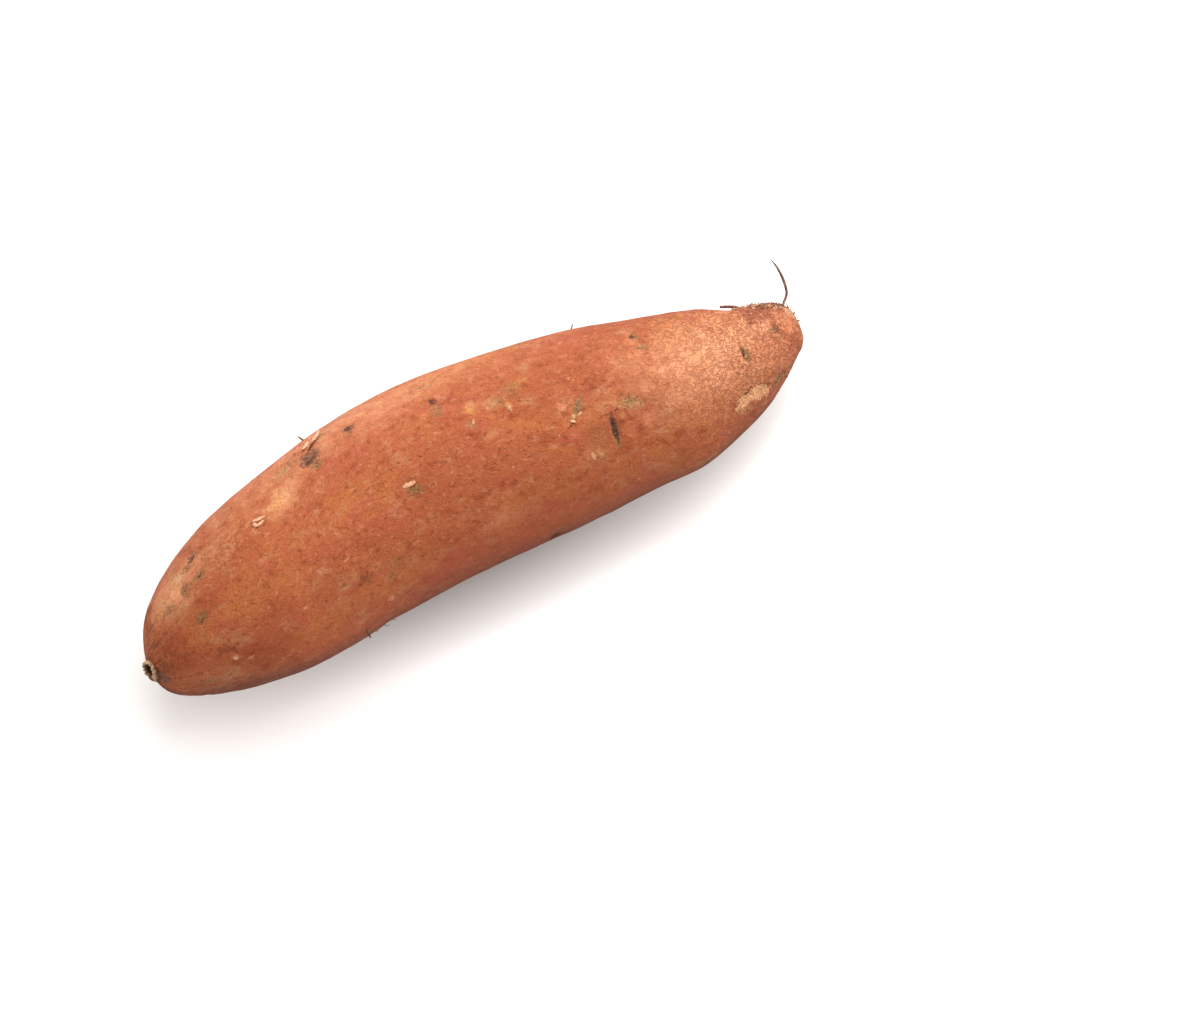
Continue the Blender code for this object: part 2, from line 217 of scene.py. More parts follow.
# The marks: kind, place along in mm, degrees around, half length, half width, turn in degrees
# from the root's length, strength and, unless it lies flush, how deep in mm it is pressed in, or
# raised where below zero
MARKS = [
    ("paler", 78, -6, 46, 26, 0, 0.88),  # thinner, paler skin towards the tail, and painted light there, where the tail faces the lamp
    ("paler", 96, 4, 18, 15, 0, 0.90),
    ("paler", -30, 52, 85, 22, 0, 0.54),  # the same along the crest, partly painted light on the side that faces the lamp
    ("paler", -2, -58, 13, 8, 0, 0.40),  # and in a patch low on the belly
    ("tan", -78, 23, 11, 9, 20, 0.55),
    ("ruddy", 99, -20, 12, 14, 0, 0.50),  # redder skin at both ends and low down, where it is partly painted shade
    ("ruddy", -104, -24, 15, 16, 0, 0.80),
    ("ruddy", 10, -80, 95, 20, 0, 0.80),
    ("paler", -14, 46, 9, 5, 0, 0.45),
    ("paler", -46, 14, 10, 5, 0, 0.35),
    ("paler", -96, 26, 17, 11, 0, 0.78),
    ("bruise_and_shade", -43.2, 37, 4.7, 4.3, 10, 1.25, 0.9),  # the main eye, where side roots broke off
    ("dark", -44.2, 35, 1.6, 1.2, 20, 0.8, 0.3),
    ("dark", -41.8, 37, 1.2, 0.9, 0, 0.6, 0.2),
    ("olive", -42.6, 27, 2.2, 1.9, 20, 1.3, 0.3),
    ("tan", -37.6, 46, 2.6, 1.8, 20, 0.8),
    ("olive", -50.2, 43, 6.0, 2.6, 10, 0.5, 0.1),
    ("olive", -36.0, 50, 3.4, 2.0, 10, 0.8, 0.1),
    ("dark", -39.6, 46.5, 4.1, 0.8, 35, 1.4, 0.4),  # a split that runs on from the eye
    ("bruise_and_shade", -28.9, 40, 2.7, 2.4, 20, 1.2, 0.4),  # a small eye
    ("dark", -29.6, 41, 1.2, 0.9, 30, 0.8, 0.2),
    ("dark", -27.9, 42, 1.0, 0.8, 0, 0.7, 0.2),
    ("olive", -30.0, 34, 1.6, 1.2, 0, 0.8, 0.2),
    ("pale", -26.6, 38, 0.5, 0.5, 0, 1.0),
    ("dark", -3.7, 30, 2.2, 1.1, -72, 0.9, 0.4),  # a crack with a scar in rings below it
    ("olive", -4.4, 20, 3.6, 1.9, -98, 0.95, 0.3),
    ("olive", -3.5, 48, 2.6, 1.4, 0, 0.6, 0.1),
    ("ochre", 4.4, 12, 3.0, 3.4, 0, 0.8, 0.15),  # rubbed through to the ochre layer
    ("ochre", 2.6, 13, 1.2, 2.2, 0, 0.5),
    ("grey", 2.4, 2, 1.8, 1.5, 0, 0.75, 0.15),
    ("dark", 2.9, -1, 0.9, 0.6, 0, 0.45, 0.1),
    ("tan", 11.6, 11, 5.4, 3.0, 10, 0.9, 0.1),
    ("ochre", 15.0, 6, 1.6, 3.2, 0, 0.8, -0.05),
    ("olive", 13.4, 10, 1.0, 2.6, 0, 0.7, 0.2),
    ("pale", 14.9, 4, 0.7, 1.3, 0, 0.8),
    ("ochre", 21.6, 20, 5.5, 3.0, 20, 0.45),
    ("olive", 18.5, 17, 3.5, 2.4, 10, 0.55),
    ("peach", 28.5, -6, 1.8, 1.8, 0, 0.9, 0.05),
    ("olive", 32.0, -11.5, 4.2, 1.4, 47, 1.4, 0.3),  # a healed crack, grey green, its end curled up
    ("grey", 33.8, -8, 2.6, 1.1, 47, 1.0),
    ("fold", 33.6, -13, 3.0, 0.4, 47, 0.9, 0.15),
    ("pale", 32.8, -14, 1.3, 0.4, 50, 1.2, -0.05),
    ("pale", 30.4, -14.5, 0.9, 0.8, 30, 1.1),
    ("dark", 28.4, -20, 1.0, 0.5, -20, 1.0, 0.2),
    ("peach", 35.2, 9, 4.2, 0.45, -48, 1.1, -0.05),
    ("bruise_and_shade", 39.8, -31, 5.6, 1.7, 81, 1.2, 0.2),
    ("dark", 39.7, -32, 5.2, 0.95, 81, 1.6, 1.0),  # the deep slit, dark scar and painted shade down in it
    ("olive", 39.2, -39, 2.6, 1.1, 79, 1.2, 0.2),
    ("ochre", 43.6, -26, 1.3, 1.9, 0, 1.0),
    ("fold", 42.4, -29, 1.0, 0.9, 0, 1.2, 0.15),
    ("brown", 33.8, -35, 6.5, 8.0, 0, 1.1, 0.1),
    ("brown", 35.0, -44, 7.0, 3.0, 10, 0.8),
    ("tan", 32.4, -43, 2.3, 2.1, 20, 1.0, -0.5),  # a blister, with a painted highlight along one side
    ("pale", 30.6, -42.5, 0.65, 2.0, 15, 2.0, -0.25),
    ("tan", 47.6, -19, 4.6, 3.0, -20, 1.2, 0.1),  # a flat healed patch with brown dashes round it
    ("olive", 47.6, -19, 3.8, 2.4, -20, 0.6),
    ("dark", 47.6, -14.5, 1.3, 0.35, -40, 1.2, 0.1),
    ("dark", 50.6, -17, 1.1, 0.35, -30, 1.1, 0.1),
    ("dark", 42.7, -20, 0.7, 0.6, 0, 1.1, 0.15),
    ("dark", 44.6, -22, 0.6, 0.5, 0, 1.0, 0.15),
    ("pale", 43.7, -19, 0.8, 0.5, 20, 1.1),
    ("tan", 54.6, -28, 3.0, 3.6, 0, 0.35),
    ("red", 41.2, 0, 5.5, 4.6, 0, 0.4),
    ("olive", 59.0, 31, 2.0, 1.7, 40, 1.1, 0.3),
    ("dark", 58.6, 32, 1.1, 0.7, 40, 0.6, 0.2),
    ("olive", 59.2, 19, 2.2, 1.4, -30, 1.0, 0.2),
    ("dark", 86.4, -17, 2.3, 0.8, 79, 0.8, 0.5),  # a narrow green-grey scar
    ("olive", 87.1, -20, 3.9, 1.4, 79, 1.1, 0.3),
    ("red", 83.1, 11, 2.4, 3.4, 0, 0.4, 0.1),
    ("fold", 81.4, -27, 0.5, 5.0, 5, 0.7, 0.3),
    ("fold", 84.4, -31, 0.5, 4.0, 0, 0.6, 0.25),
    ("fold", 71.2, -35, 0.7, 5.0, -5, 0.6, 0.25),
    ("bare", 86.9, -64, 5.2, 2.6, -39, 1.3, 0.3),  # a graze down to the pale flesh
    ("bare", 81.4, -58.5, 3.8, 1.7, -16, 1.2, 0.2),
    ("bare", 79.7, -62, 2.6, 1.5, -12, 0.85, 0.15),
    ("tan", 80.4, -68, 2.8, 2.6, 0, 1.2, 0.1),
    ("grey", 78.2, -62, 1.8, 2.0, 0, 0.9),
    ("pale", 86.4, -69, 1.3, 0.4, 30, 1.2),
    ("pale", 88.0, -70, 0.8, 0.4, 60, 1.1),
    ("dark", 83.9, -50.5, 1.5, 0.35, 31, 1.4, 0.2),
    ("dark", 81.8, -53, 1.5, 0.35, -7, 1.3, 0.2),
    ("dark", 90.2, -63, 2.2, 0.3, -35, 1.1, 0.1),
    ("dark", 80.9, -71, 0.6, 0.6, 0, 1.1, 0.2),
    ("olive", 95.0, -72, 3.4, 2.2, 0, 1.2, 0.1),
    ("pale", 93.9, -68, 0.5, 0.5, 0, 1.2),
    ("peach", 106.0, -10, 3.4, 5.4, 0, 1.1, -0.2),  # the smooth nub at the tail's end
    ("orange", 105.4, -16, 2.6, 2.4, 0, 1.2),
    ("peach", 104.0, 12, 2.6, 2.4, 0, 0.8, -0.15),
    ("fold", 100.2, -11, 1.5, 0.35, -115, 1.4, 0.2),
    ("fold", 101.6, -13, 1.6, 0.35, -118, 1.4, 0.2),
    ("fold", 103.0, -14, 1.5, 0.35, -120, 1.2, 0.2),
    ("fold", 100.9, -10, 2.8, 2.4, 0, 1.1, 0.2),
    ("grey", 99.4, -9, 2.0, 1.8, 0, 0.7),
    ("olive", 96.0, 27, 2.4, 1.4, -20, 0.9, -0.1),
    ("fold", 95.9, 22, 2.4, 0.5, -20, 0.9, 0.2),
    ("red", 105.6, -46, 3.2, 3.6, 0, 1.1),
    ("pale", 105.9, 38, 3.2, 1.5, -42, 1.4, -0.15),
    ("pale", 108.2, 15, 2.4, 1.5, -69, 1.3, -0.15),
    ("tan", 109.2, -13, 2.6, 1.4, -86, 1.4, -0.15),
    ("ochre", 107.4, 22, 0.9, 0.9, 0, 1.2),
    ("tan", -55.6, 24, 7.5, 5.0, 25, 0.55),
    ("paler", -56.0, 23, 11, 8, 25, 0.85),  # a rubbed patch
    ("ochre", -58.0, 21.5, 5.4, 4.4, 25, 0.60, 0.05),
    ("tan", -52.9, 20, 2.6, 2.6, 0, 0.6),
    # painted shade in the gap between the torn flakes here, and their painted shadow below them
    ("dark", -64.7, 19.4, 1.0, 0.3, 25, 1.0, 0.2),
    ("fold", -63.7, 16.6, 1.8, 0.6, 39, 1.2, 0.2),
    # a painted shadow below the torn flake here, olive and brown
    ("olive", -21.4, -20, 3.0, 2.4, -20, 0.75, 0.2),
    ("fold", -20.8, -22, 3.0, 2.2, -20, 0.7, 0.1),
    ("fold", -21.9, -13, 2.3, 0.5, -10, 1.2, 0.15),
    ("pale", -22.3, -16, 2.0, 0.9, 0, 0.8, -0.1),
    ("grey", -86.2, 37, 3.2, 1.7, 15, 1.0, 0.35),  # grey-green scars by the stem end
    ("dark", -87.2, 36, 2.0, 1.2, 20, 0.6, 0.3),
    ("olive", -89.5, 31, 2.4, 1.6, 10, 0.7, 0.2),
    ("tan", -93.5, 33, 5.0, 4.5, 0, 0.9),
    ("pale", -92.6, 32, 2.0, 2.4, 0, 0.45),
    ("olive", -87.2, 17, 3.6, 1.5, 10, 0.9, 0.2),
    ("dark", -87.6, 16, 2.6, 0.4, 15, 0.5, 0.2),
    ("fold", -92.2, 18, 2.0, 3.2, 0, 1.0, 0.15),
    ("olive", -93.0, 16, 1.6, 2.4, 0, 0.7, 0.1),
    ("olive", -99.1, 15, 2.8, 2.4, 0, 0.75, 0.15),
    ("tan", -100.5, 28, 5.6, 4.4, 0, 0.9),
    ("tan", -95.5, 6, 5.5, 3.0, 0, 0.7),
    ("olive", -92.2, -12, 2.8, 2.2, 0, 0.75, 0.1),
    ("dark", -92.4, -14, 1.0, 0.6, 0, 0.4, 0.1),
    ("pale", -88.6, -52, 1.0, 1.0, 0, 1.0, -0.1),
    ("pale", -84.8, -56, 1.3, 0.5, 0, 1.0, -0.1),
    ("tan", -90.5, -70, 2.2, 1.6, 0, 0.9),
    ("grey", -97.1, -69, 3.0, 1.8, 0, 0.8, 0.1),
    ("dark", -86.9, -43, 1.6, 0.5, 10, 0.6, 0.15),
    ("fold", -90.0, -44, 4.5, 2.4, 0, 0.6, 0.05),
    ("peach", -63.6, -42, 3.1, 0.4, 6, 0.7, 0.05),
    ("pale", -48.0, -33, 1.6, 0.4, -4, 0.9, -0.1),
    ("olive", -35.6, -53, 3.8, 2.4, 0, 0.4, 0.1),
    ("olive", -38.6, -57, 2.6, 2.0, 30, 0.5, 0.1),
    ("peach", -40.5, -71, 3.0, 2.0, 0, 0.6),
    ("red", -43.3, -27, 3.5, 2.5, 0, 0.3),
    ("fold", -45.8, -50, 4.4, 2.2, 0, 0.8, 0.05),
    ("red", -102.5, -8, 5.0, 5.0, 0, 0.8, 0.1),
    ("red", -107.0, 30, 4.0, 4.0, 0, 0.9),
    ("red", -103.0, -38, 6.0, 4.0, 0, 0.9),
    # painted shade beside the stem scar's lower side, in purple brown
    ("bruise_and_shade", -109.8, -56, 2.8, 3.4, 0, 1.2),
    ("fold", 0.7, -11, 0.8, 0.7, 0, 1.0, 0.1),  # small dark pores
    ("fold", -2.0, -18, 0.8, 0.8, 0, 1.0, 0.1),
    ("fold", 6.1, -19, 0.7, 0.7, 0, 0.9, 0.1),
    ("fold", 3.0, -10, 0.7, 0.6, 0, 0.9, 0.1),
    ("fold", 15.4, -18, 0.9, 0.7, 0, 1.0, 0.1),
    ("fold", -5.7, -11, 0.8, 0.8, 0, 0.9, 0.1),
    ("fold", -11.8, 35, 0.9, 0.8, 0, 1.0, 0.1),
    ("fold", -26.6, 20, 0.9, 0.9, 0, 1.0, 0.1),
    ("pale", 7.1, -31, 0.5, 0.4, 0, 1.0),
    ("pale", -2.4, -37, 0.5, 0.5, 0, 0.9),
    ("ochre", -20.4, 60, 2.0, 1.6, 0, 1.1),
    ("red", 63.4, -56, 2.6, 2.0, 0, 0.6),
    ("pale", -6.7, -33, 0.5, 0.5, 0, 0.9),
    ("pale", 24.0, -23, 0.5, 0.6, 0, 0.7),
    ("pale", 41.2, -72, 0.7, 0.6, 0, 0.9),
    ("tan", -20.0, -24, 0.6, 0.5, 0, 1.0),
    ("dark", -51.1, -100, 1.8, 1.4, 0, 0.7, 0.3),
    ("olive", -51.1, -96, 4.0, 2.4, 0, 0.7, 0.1),
]
MARK_KINDS = (
    "ruddy", "paler", "brown", "bruise_and_shade", "dark", "olive", "grey", "tan", "ochre", "orange", "peach", "pale",
    "bare", "red", "fold",
)

# Like marks on the sides that lie away: an eye in each dent there, with scars and rubs between
draw = random.Random(5)
HIDDEN_EYES = ((-45.5, -108), (12.2, -96), (52.2, -118), (-58.9, 112), (25.5, 104))
HIDDEN_MARKS = 46
for along, degrees in HIDDEN_EYES:
    MARKS.append(("dark", along, degrees, draw.uniform(1.4, 3.0), draw.uniform(1.4, 2.6), 0, 1.0, 0.7))
    MARKS.append(("olive", along + 2, degrees + 5, draw.uniform(3, 5), draw.uniform(2, 4), 20, 0.8, 0.1))
for _ in range(HIDDEN_MARKS):
    kind = draw.choice(("olive", "tan", "tan", "pale", "grey", "red", "red", "ochre", "dark"))
    small = 0.45 if kind in ("dark", "pale") else 1.0
    MARKS.append((
        kind, draw.uniform(-98, 96), draw.choice((draw.uniform(68, 180), draw.uniform(-180, -92))),
        small * draw.uniform(1.2, 5.0), small * draw.uniform(0.8, 3.2), draw.uniform(-90, 90),
        draw.uniform(0.6, 1.1), 0.15 * small,
    ))

LIP_FROM = 0.25  # mm, a mark pressed in deeper than this has healed with a raised lip
LIP_HEIGHT = 0.18  # of the mark's depth
LIP_AT = 1.25  # the mark's edge is at 1
LIP_WIDTH = 0.3
height = np.zeros(count)
shown = {kind: np.full(count, -1.0) for kind in MARK_KINDS}
for kind, along, degrees, half_length, half_width, turn, strength, *pressed in MARKS:
    depth = sum(pressed)
    ahead = grown[:, 0] - along
    beside = (around - math.radians(degrees) + np.pi) % (2 * np.pi) - np.pi
    beside *= radius
    c, s = math.cos(math.radians(turn)), math.sin(math.radians(turn))
    off = np.hypot((ahead * c + beside * s) / half_length, (beside * c - ahead * s) / half_width)
    shown[kind] = np.maximum(shown[kind], strength * (1 - off))
    height -= depth * np.where(off < 1, (1 - off * off) ** 2, 0)
    if depth > LIP_FROM:
        height += LIP_HEIGHT * depth * np.exp(-((off - LIP_AT) / LIP_WIDTH) ** 2)


def rough(along, across, seed):
    """Smooth noise between about -1 and 1, with lumps of that size in mm."""
    scaled = grown / (along, across, across) + seed * 17.3
    return np.array([noise.noise(Vector(p)) for p in scaled])


def ramp(values, start, end):
    """Rises smoothly from 0 at start to 1 at end."""
    t = np.clip((values - start) / (end - start), 0, 1)
    return t * t * (3 - 2 * t)


def creases(folded, width):
    """Rises to the width in the middle of each fold of the noise, and is 0 beside it."""
    return np.maximum(0, width - np.abs(folded))


# Where each kind of skin starts and is full, in mm from the middle towards its end, or in radians
TAIL_SKIN = (84, 102)
STEM_SKIN = (92, 106)
STEM_FINE_FOLDS = (98, 107)
CROWN = (91.5, 94.5)  # the crusted side of the tail
CROWN_NEAR_EDGE = (-0.1, 0.3)
CROWN_FAR_EDGE = (-2.4, -1.8)
SWELLS = (  # height in mm, how much more at the tail, size along and across in mm, seed
    (0.16, 0, 15, 9, 1),
    (0.09, 0, 6, 3.6, 2),
    (0.05, 0.05, 3.0, 1.9, 3),
)
TAIL_FOLD_HEIGHT = 0.18  # mm
STEM_FOLD_DEPTH = 0.35
CROWN_HEIGHT = 0.45
HOLLOW_AT = (91.5, 72)  # mm along and degrees around: the hollow that the side rootlet lies over
HOLLOW_SIZE = (5, 8)  # mm along and around
HOLLOW_DEPTH = 1.9
SHADE_LINE = 0.42  # skin that faces up less than this is painted darker as shade, and it is full this much lower
SHADE_FADE = 0.75
SHADE_TO_STEM = (50, 90)
WORN_BAND = 0.6  # mm up from its lowest point
tail = ramp(grown[:, 0], *TAIL_SKIN)
stem = ramp(-grown[:, 0], *STEM_SKIN)
smooth_nub = shown["peach"].clip(0, 1)
crown = ramp(grown[:, 0] + 1.6 * rough(5, 4, 7), *CROWN)
crown *= ramp(around, *CROWN_NEAR_EDGE) * ramp(-around, *CROWN_FAR_EDGE) * (1 - smooth_nub)


def spokes(many, seed):
    """Smooth noise drawn out along the root, so that its folds run to the two ends."""
    return np.array([
        noise.noise(Vector((many * math.sin(a), many * math.cos(a), x / 9 + seed)))
        for x, a in zip(grown[:, 0], around)
    ])


puckers = stem * creases(spokes(3.6, 0), 0.16) * 6  # they run to the stem scar
puckers += 0.5 * ramp(-grown[:, 0], *STEM_FINE_FOLDS) * creases(spokes(9.0, 5), 0.18) * 5
for tall, more, long, wide, seed in SWELLS:
    height += (tall + more * tail) * rough(long, wide, seed)
height += TAIL_FOLD_HEIGHT * tail * (0.5 - np.abs(rough(2.6, 3.6, 4)) * 2) * (1 - 0.7 * smooth_nub)
height -= STEM_FOLD_DEPTH * puckers
height += crown * (CROWN_HEIGHT + CROWN_HEIGHT * rough(2.4, 2.0, 6))
shown["crust"] = 1.3 * crown - 0.5 + 0.5 * rough(2.4, 2.0, 8)
# the puckers are painted darker, as painted shade in their creases
shown["fold"] = np.maximum(shown["fold"], 0.5 * puckers - 0.15)
# Painted shade: the skin is painted darker and redder where it faces down, less at the tail and
# more towards the stem end, for the shade low down, which the light alone leaves too pale
shown["painted_shade_below"] = (SHADE_LINE - facing[:, 2]) / SHADE_FADE * (1 - 0.5 * tail)
shown["painted_shade_below"] *= (1 - 0.8 * shown["bare"].clip(0, 1)) * (1 + 0.4 * ramp(-grown[:, 0], *SHADE_TO_STEM))
beside = (around - math.radians(HOLLOW_AT[1])) * radius
off = ((grown[:, 0] - HOLLOW_AT[0]) / HOLLOW_SIZE[0]) ** 2 + (beside / HOLLOW_SIZE[1]) ** 2
height -= HOLLOW_DEPTH * np.exp(-off)
lowest = place[:, 2].min()
height = np.where(place[:, 2] < lowest + WORN_BAND, 0, height)  # worn level where it rests
place += facing * height[:, None]
place[:, 2] = np.maximum(place[:, 2], lowest)
skin.data.vertices.foreach_set("co", (place * MM).ravel())
note(skin, "grown", grown)
for kind, values in shown.items():
    note(skin, kind, values)
skin.data.shade_smooth()
skin.data.update()

# Dried periderm: a thin cork cured in air, dull and dry to the eye, copper with redder and more
# orange clouds, and pocked all over with the dashes and grains it drew up in as it dried
COPPER = "#b4603b"
CLOUDS = (  # colour, size along and across in mm, detail, where it starts and is full, strength
    ("#c3743f", 40, 24, 3.0, 0.46, 0.66, 0.60),
    ("#97401f", 30, 17, 3.0, 0.52, 0.72, 0.50),
    ("#b85a42", 12, 8, 3.0, 0.50, 0.70, 0.68),
    ("#c4875f", 8, 5.5, 4.0, 0.53, 0.73, 0.68),
    ("#8f3c1e", 4.4, 3.4, 4.0, 0.52, 0.72, 0.62),
    ("#cf8963", 3.0, 2.4, 3.0, 0.55, 0.74, 0.50),
    ("#7c2f14", 1.6, 1.3, 2.0, 0.57, 0.72, 0.50),  # the dark grains
    ("#d4906c", 1.7, 1.5, 2.0, 0.56, 0.78, 0.40),
    ("#8a3a1e", 0.8, 0.7, 2.0, 0.52, 0.68, 0.25),  # specks
)
CLOUD_STEP = (31.0, 17.0)  # moves each cloud on, so that no two fall together
FELT = 0.75  # mm, the skin's cork grain: really about a tenth of that, drawn coarser so that it shows
DULL = 0.66  # the roughness of sound skin
SHEEN = 0.15  # cork reflects little
WRINKLE = (1.7, 1.4)  # mm apart, along and around
WRINKLE_BODY = 0.45  # how strong they are on the body, and below that at the tail
WRINKLE_TAIL = 1.9
WRINKLE_FROM_TO = (50.0, 90.0)  # mm along
FURROW = "#a04f38"  # dirt and shade in a wrinkle
FURROW_COVER = 0.32
WASHES = {  # two colours, grain in mm, how ragged, softness, roughness, how much it covers
    "paler": ("#fdb388", "#f2a274", 4.0, 0.5, 1.00, 0.62, 0.82),
    "ruddy": ("#a94e30", "#a0482b", 4.0, 0.4, 1.00, 0.64, 0.70),
    "brown": ("#a8683f", "#9c5c38", 2.2, 0.5, 1.00, 0.65, 0.75),
}
SCAR_FINISHES = {  # the same, for what lies over the wrinkles
    # fold: dark dirt in creases and pores, with painted shade there, and painted shadows beside torn flakes
    "fold": ("#84412b", "#6a3320", 1.4, 1.3, 0.60, 0.65, 0.60),
    "bruise_and_shade": ("#9a6a56", "#75473a", 0.9, 0.9, 0.60, 0.75, 0.85),
    "red": ("#8a3c26", "#a04c32", 1.3, 1.7, 0.70, 0.65, 0.55),
    "tan": ("#cf9a6c", "#b07c52", 1.6, 1.3, 0.80, 0.75, 0.62),
    "ochre": ("#dfa35c", "#d08c52", 1.6, 0.8, 0.95, 0.65, 0.80),
    "orange": ("#e8894f", "#de7c48", 1.6, 0.5, 0.80, 0.50, 0.85),
    "peach": ("#dc9268", "#cb744e", 1.6, 1.1, 0.60, 0.50, 0.85),
    "olive": ("#9a7c50", "#694c30", 0.9, 1.8, 0.60, 0.80, 0.72),
    "grey": ("#ae8f6c", "#83644a", 1.0, 1.8, 0.60, 0.80, 0.62),
    # painted shade on the skin that faces down
    "painted_shade_below": ("#70361e", "#622f1a", 3.0, 0.3, 1.00, 0.72, 0.92),
    "crust": ("#b4684c", "#854531", 0.9, 1.2, 0.60, 0.80, 0.80),
    "bare": ("#ffc492", "#e09560", 1.0, 1.5, 0.20, 0.55, 0.92),
    "pale": ("#e2b08a", "#cc9468", 0.6, 1.3, 0.40, 0.60, 0.80),
    # dark: dark scar tissue, and painted shade in the pits, cracks and slits that it lines
    "dark": ("#6a4130", "#3c241b", 0.7, 1.4, 0.40, 0.90, 0.90),
}

periderm, tree, shader = new_material("cured_periderm")
spot = add(tree, "Attribute", out="Vector", attribute_name="grown")
colour = add(tree, "RGB")
colour.default_value = linear(COPPER)
roughness = add(tree, "Value")
roughness.default_value = DULL
relief = None
for i, (shade, along, across, detail, start, full, strength) in enumerate(CLOUDS):
    laid = add(tree, "Mapping", {
        "Vector": spot, "Location": (i * CLOUD_STEP[0], i * CLOUD_STEP[1], 0),
        "Scale": (1 / along, 1 / across, 1 / across),
    })
    lump = add(tree, "TexNoise", {
        "Vector": laid, "Scale": 1.0, "Detail": detail, "Roughness": 0.6, "Distortion": 0.3,
    })
    share = add(tree, "MapRange", {
        "Value": lump, "From Min": start, "From Max": full, "To Max": strength,
    }, interpolation_type="SMOOTHSTEP")
    colour = add(tree, "Mix", {0: share, 6: colour, 7: linear(shade)}, data_type="RGBA")
    if across < 2:  # the grains and specks are drawn in, the clouds are colour alone
        relief = share if relief is None else add(tree, "Math", {0: relief, 1: share}, operation="ADD")
felt = add(tree, "TexNoise", {"Vector": spot, "Scale": 1 / FELT, "Detail": 3.0, "Roughness": 0.6})
place_along = add(tree, "SeparateXYZ", {0: spot}, out="X")
wrinkled = add(tree, "MapRange", {
    "Value": place_along, "From Min": WRINKLE_FROM_TO[0], "From Max": WRINKLE_FROM_TO[1],
    "To Min": WRINKLE_BODY, "To Max": WRINKLE_TAIL,
})
waves = add(tree, "TexNoise", {
    "Vector": add(tree, "Mapping", {
        "Vector": spot, "Scale": (1 / WRINKLE[0], 1 / WRINKLE[1], 1 / WRINKLE[1]),
    }),
    "Scale": 1.0, "Detail": 3.0, "Distortion": 0.8,
})
waves = add(tree, "Math", {0: waves, 1: 0.5}, operation="SUBTRACT")
furrow = add(tree, "MapRange", {
    "Value": add(tree, "Math", {0: waves}, operation="ABSOLUTE"), "From Min": 0.07, "From Max": 0.0,
})
furrow = add(tree, "Math", {0: furrow, 1: wrinkled}, operation="MULTIPLY")


def lay_over(kind, finish, colour, roughness):
    """Lays a wash or scar over the skin with a torn edge, and returns the new colour and roughness."""
    shade, second, size, ragged, soft, own_roughness, cover = finish
    value = add(tree, "Attribute", out="Fac", attribute_name=kind)
    torn = add(tree, "TexNoise", {"Vector": spot, "Scale": 1 / size, "Detail": 4.0, "Roughness": 0.7})
    edge = add(tree, "Math", {0: torn, 1: 0.5}, operation="SUBTRACT")
    edge = add(tree, "Math", {0: edge, 1: 2 * ragged, 2: value}, operation="MULTIPLY_ADD")
    share = add(tree, "MapRange", {
        "Value": edge, "From Min": 0.02, "From Max": 0.02 + soft, "To Max": cover,
    }, interpolation_type="SMOOTHSTEP")
    within = add(tree, "MapRange", {"Value": value, "From Min": -0.5, "From Max": -0.1})
    share = add(tree, "Math", {0: share, 1: within}, operation="MULTIPLY")
    blotch = add(tree, "MapRange", {"Value": felt, "From Min": 0.40, "From Max": 0.62})
    scar = add(tree, "Mix", {0: blotch, 6: linear(shade), 7: linear(second)}, data_type="RGBA")
    colour = add(tree, "Mix", {0: share, 6: colour, 7: scar}, data_type="RGBA")
    return colour, add(tree, "Mix", {0: share, 2: roughness, 3: own_roughness})


for kind, finish in WASHES.items():
    colour, roughness = lay_over(kind, finish, colour, roughness)
lined = add(tree, "Math", {0: furrow, 1: FURROW_COVER}, operation="MULTIPLY")
colour = add(tree, "Mix", {0: lined, 6: colour, 7: linear(FURROW)}, data_type="RGBA")
for kind, finish in SCAR_FINISHES.items():
    colour, roughness = lay_over(kind, finish, colour, roughness)
fine = add(tree, "Math", {0: relief, 1: -0.8, 2: felt}, operation="MULTIPLY_ADD")
fine = add(tree, "Math", {0: furrow, 1: -0.8, 2: fine}, operation="MULTIPLY_ADD")
bump = add(tree, "Bump", {"Strength": 0.8, "Distance": 0.3 * MM, "Height": fine})
tree.links.new(colour, shader.inputs["Base Color"])
tree.links.new(roughness, shader.inputs["Roughness"])
tree.links.new(bump, shader.inputs["Normal"])
shader.inputs["Specular IOR Level"].default_value = SHEEN

finish_piece(skin, "skin", periderm)
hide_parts("sweet_potato")
skin_tree = faces_of(skin)


def on_skin(along, degrees, turn=0.0):
    """A matrix that stands on the skin there: Z out, X along the root turned by so many degrees."""
    y, z = centre(along)
    out = out_from(math.radians(degrees))
    point, normal, _, _ = skin_tree.ray_cast(Vector((along, y, z)) * MM, out)
    ahead = (Vector((1, 0, 0)) - normal * normal.x).normalized()
    side = normal.cross(ahead)
    x_axis = ahead * math.cos(math.radians(turn)) + side * math.sin(math.radians(turn))
    axes = Matrix((x_axis, normal.cross(x_axis), normal)).transposed().to_4x4()
    return Matrix.Translation(point) @ axes


# The stem scar. Where the root snapped off its vine a low oblong rim of cork has healed, tan and
# cracked, round a hole where the pith has rotted out, painted dark: dark pith and painted shade. Its lower
# side is torn away.
RING_HOLE = 1.55 * MM
RING_OUTER = 2.50 * MM
RING_HEIGHT = 2.2 * MM
RING_FOOT = 3.4 * MM  # how far it runs on down into the root
RING_PLACE = Vector((-110.6, -9.7, 27.2))  # mm
RING_LEANS = Vector((-0.80, -0.17, 0.575)).normalized()
RING_TORN = Vector((-0.22, -0.81, -0.54))  # towards its torn side
RIM_SLOPE = 0.45 * MM  # its outer slope, across, and how far that rises
RIM_RISE = 0.3 * MM
RIM_TOP = 0.2 * MM  # its level top, across
RIM_EDGE = 0.2 * MM  # its inner edge, across, and how far that drops
RIM_DROP = 0.4 * MM
PITH_DEPTH = 2.8 * MM
CRACK_WIDTH = 0.45 * MM
